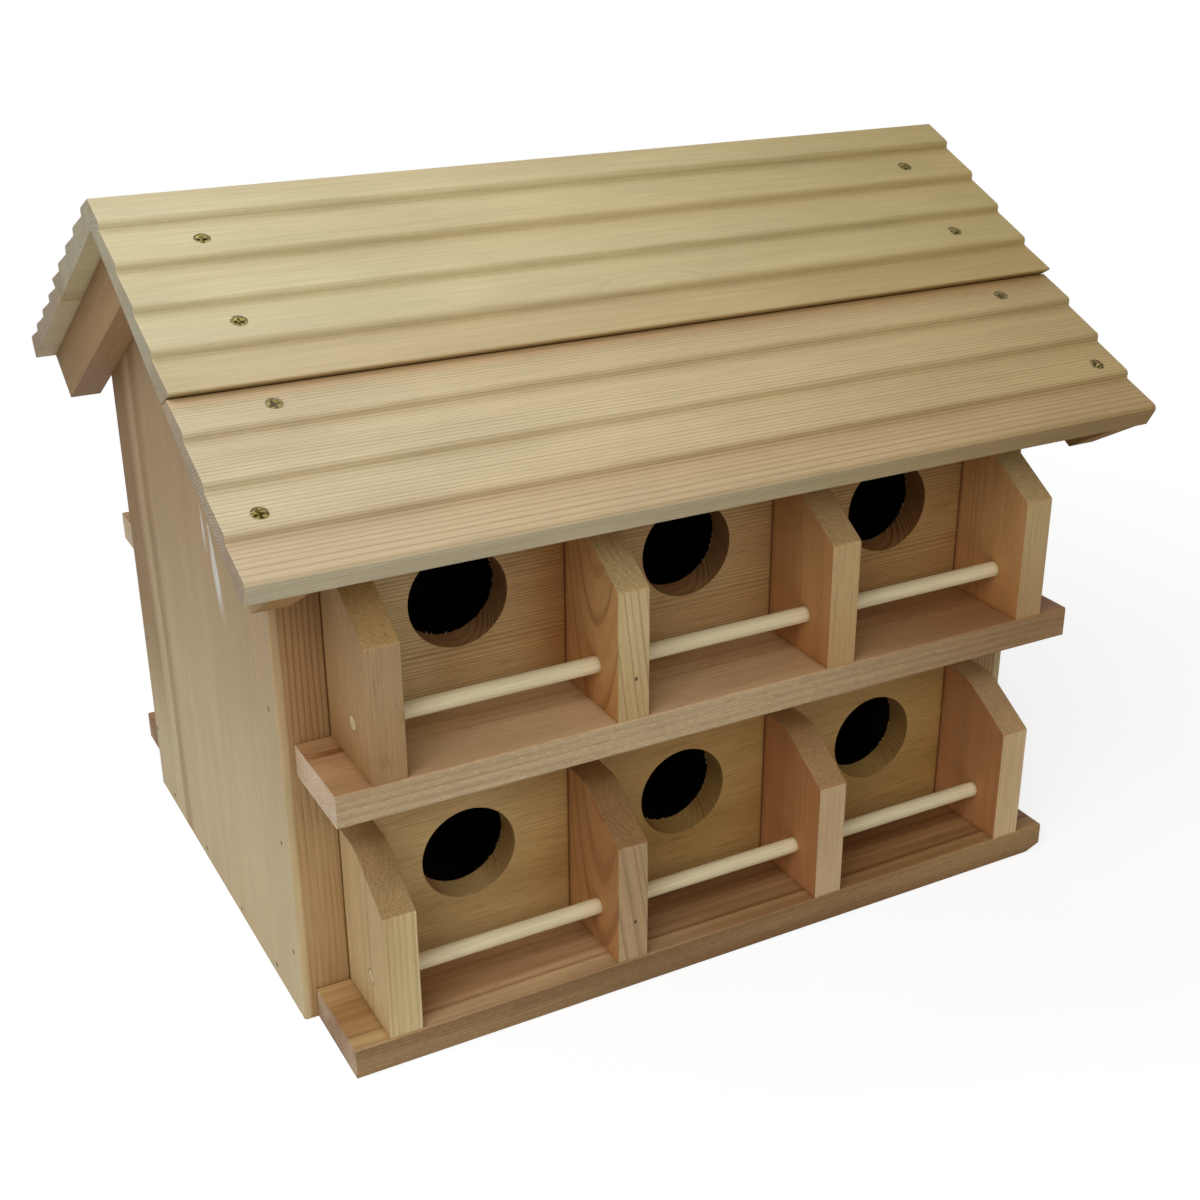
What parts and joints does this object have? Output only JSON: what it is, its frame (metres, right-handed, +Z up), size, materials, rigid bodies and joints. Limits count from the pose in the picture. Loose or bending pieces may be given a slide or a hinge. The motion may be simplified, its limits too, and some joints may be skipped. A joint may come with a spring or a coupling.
{
  "type": "purple martin birdhouse",
  "caption": "Unpainted cedar birdhouse for martins: rooms on two storeys behind round entrances, railed porches with perches, and a ribbed gable roof",
  "frame": {"origin": "middle of the underside, on the ground", "axes": "+X along the ridge to the right seen from the front, -Y to the front, +Z up"},
  "size_m": [0.5534, 0.4668, 0.4389],
  "materials": {
    "end_wall_cedar": "planed, unpainted",
    "panel_cedar": "fine-sawn, unpainted",
    "floor_cedar": "planed, unpainted",
    "partition_cedar": "planed, unpainted",
    "shelf_cedar": "planed, unpainted",
    "divider_cedar": "planed, unpainted",
    "upper_roof_cedar": "milled, unpainted",
    "lower_roof_cedar": "milled, unpainted",
    "batten_cedar": "planed, unpainted",
    "perch_wood": "turned, unpainted",
    "fastener_zinc": "yellow zinc plate"
  },
  "bodies": {
    "root": {"left_end_wall": "end_wall_cedar", "right_end_wall": "end_wall_cedar", "floor_board": "floor_cedar", "middle_floor": "floor_cedar", "front_lower_panel": "panel_cedar", "front_upper_panel": "panel_cedar", "back_lower_panel": "panel_cedar", "back_upper_panel": "panel_cedar", "lower_spine_partition": "partition_cedar", "upper_spine_partition": "partition_cedar", "lower_cross_partitions": "partition_cedar", "upper_cross_partitions": "partition_cedar", "front_lower_shelf": "shelf_cedar", "front_upper_shelf": "shelf_cedar", "back_lower_shelf": "shelf_cedar", "back_upper_shelf": "shelf_cedar", "front_lower_divider_1": "divider_cedar", "front_lower_divider_2": "divider_cedar", "front_lower_divider_3": "divider_cedar", "front_lower_divider_4": "divider_cedar", "front_upper_divider_1": "divider_cedar", "front_upper_divider_2": "divider_cedar", "front_upper_divider_3": "divider_cedar", "front_upper_divider_4": "divider_cedar", "back_lower_divider_1": "divider_cedar", "back_lower_divider_2": "divider_cedar", "back_lower_divider_3": "divider_cedar", "back_lower_divider_4": "divider_cedar", "back_upper_divider_1": "divider_cedar", "back_upper_divider_2": "divider_cedar", "back_upper_divider_3": "divider_cedar", "back_upper_divider_4": "divider_cedar", "front_lower_perch": "perch_wood", "front_upper_perch": "perch_wood", "back_lower_perch": "perch_wood", "back_upper_perch": "perch_wood", "front_upper_roof_board": "upper_roof_cedar", "front_lower_roof_board": "lower_roof_cedar", "back_upper_roof_board": "upper_roof_cedar", "back_lower_roof_board": "lower_roof_cedar", "front_left_batten": "batten_cedar", "front_right_batten": "batten_cedar", "back_left_batten": "batten_cedar", "back_right_batten": "batten_cedar"}
  },
  "joints": []
}
